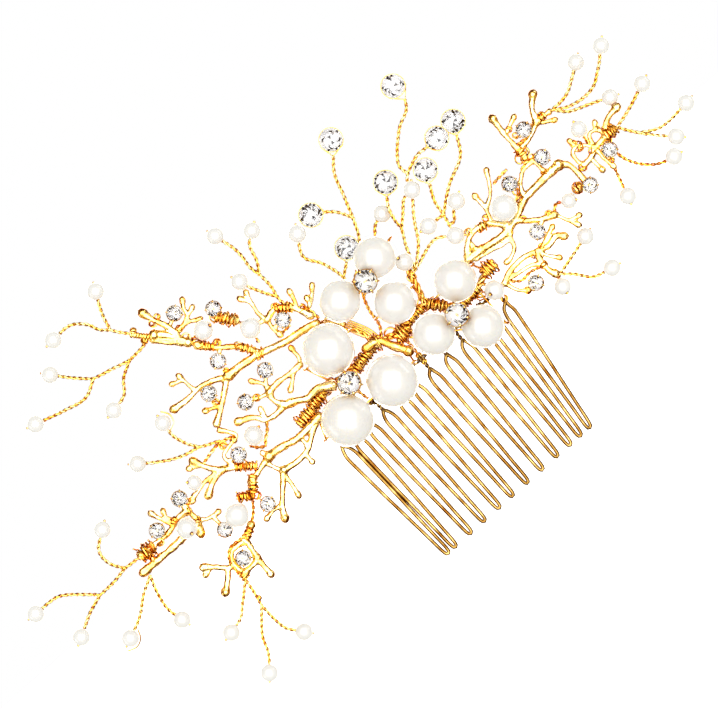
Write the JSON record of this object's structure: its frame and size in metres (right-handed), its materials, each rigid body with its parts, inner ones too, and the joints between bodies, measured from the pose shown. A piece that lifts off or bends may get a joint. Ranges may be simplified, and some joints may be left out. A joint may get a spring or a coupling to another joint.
{
  "type": "decorative hair comb",
  "caption": "Wire hair comb with a spine carrying cast coral branches, pearls that turn on their wire, set stones and sprays of twisted wire ending in small pearls and crystals.",
  "frame": {"origin": "middle of the comb's spine, where the comb is gripped by the hair", "axes": "+X along the spine, +Z away from the teeth, -Y out of the decorated face"},
  "size_m": [0.1645, 0.0154, 0.0862],
  "materials": {
    "gold_plate": "bright gold-coloured plating on cast metal and craft wire",
    "pearl": "imitation pearl, cream, softly glossy",
    "crystal": "clear faceted glass stone with a foiled back"
  },
  "bodies": {
    "comb": {"comb_spine": "gold_plate", "comb_tooth_01": "gold_plate", "comb_tooth_02": "gold_plate", "comb_tooth_03": "gold_plate", "comb_tooth_04": "gold_plate", "comb_tooth_05": "gold_plate", "comb_tooth_06": "gold_plate", "comb_tooth_07": "gold_plate", "comb_tooth_08": "gold_plate", "comb_tooth_09": "gold_plate", "comb_tooth_10": "gold_plate", "comb_tooth_11": "gold_plate", "comb_tooth_12": "gold_plate", "binding_wire": "gold_plate", "centre_stone_left": "crystal", "centre_stone_top": "crystal", "centre_stone_right": "crystal", "coral_upper_left": "gold_plate", "coral_top_left": "gold_plate", "coral_left_loop": "gold_plate", "coral_mid_left": "gold_plate", "coral_left_fork": "gold_plate", "coral_far_left": "gold_plate", "coral_lower_left": "gold_plate", "coral_inner_left": "gold_plate", "wrapped_stem_left": "gold_plate", "coral_right": "gold_plate", "coral_upper_right": "gold_plate", "coral_far_right": "gold_plate", "coral_lower_right": "gold_plate", "spray_top_left": "gold_plate", "spray_top": "gold_plate", "spray_left": "gold_plate", "spray_far_left": "gold_plate", "spray_far_left_lower": "gold_plate", "spray_lower_left": "gold_plate", "spray_upper_right": "gold_plate", "spray_far_right": "gold_plate", "spray_lower_right": "gold_plate", "fan_wires_left": "gold_plate", "fan_wires_right": "gold_plate", "crystal_1": "crystal", "crystal_2": "crystal", "crystal_3": "crystal", "crystal_4": "crystal", "crystal_5": "crystal", "crystal_6": "crystal", "crystal_7": "crystal", "crystal_8": "crystal", "pearl_mid_left": "pearl", "pearl_mid_right": "pearl"},
    "pearl_row_1": {"pearl_row_1": "pearl"},
    "pearl_row_2": {"pearl_row_2": "pearl"},
    "pearl_row_3": {"pearl_row_3": "pearl"},
    "pearl_row_4": {"pearl_row_4": "pearl"},
    "pearl_left": {"pearl_left": "pearl"},
    "pearl_middle": {"pearl_middle": "pearl"},
    "pearl_right": {"pearl_right": "pearl"},
    "pearl_top_1": {"pearl_top_1": "pearl"},
    "pearl_top_2": {"pearl_top_2": "pearl"}
  },
  "joints": [
    {"name": "pearl_row_1_spin", "type": "hinge", "parent": "comb", "child": "pearl_row_1", "pos_m": [-0.0172, -0.0065, 0.0006], "axis": [1, 0, 0], "continuous": true},
    {"name": "pearl_row_2_spin", "type": "hinge", "parent": "comb", "child": "pearl_row_2", "pos_m": [-0.0057, -0.0065, 0.0006], "axis": [1, 0, 0], "continuous": true},
    {"name": "pearl_row_3_spin", "type": "hinge", "parent": "comb", "child": "pearl_row_3", "pos_m": [0.0064, -0.006, 0.002], "axis": [0.8415, 0, -0.5402], "continuous": true},
    {"name": "pearl_row_4_spin", "type": "hinge", "parent": "comb", "child": "pearl_row_4", "pos_m": [0.0145, -0.006, -0.0032], "axis": [0.8415, 0, -0.5402], "continuous": true},
    {"name": "pearl_left_spin", "type": "hinge", "parent": "comb", "child": "pearl_left", "pos_m": [-0.011, -0.0065, 0.0133], "axis": [1, 0, 0], "continuous": true},
    {"name": "pearl_middle_spin", "type": "hinge", "parent": "comb", "child": "pearl_middle", "pos_m": [0.0047, -0.006, 0.0116], "axis": [1, 0, 0], "continuous": true},
    {"name": "pearl_right_spin", "type": "hinge", "parent": "comb", "child": "pearl_right", "pos_m": [0.0163, -0.006, 0.007], "axis": [1, 0, 0], "continuous": true},
    {"name": "pearl_top_1_spin", "type": "hinge", "parent": "comb", "child": "pearl_top_1", "pos_m": [-0.0029, -0.006, 0.0189], "axis": [0.9856, 0, 0.169], "continuous": true},
    {"name": "pearl_top_2_spin", "type": "hinge", "parent": "comb", "child": "pearl_top_2", "pos_m": [0.0076, -0.006, 0.0207], "axis": [0.9856, 0, 0.169], "continuous": true}
  ]
}
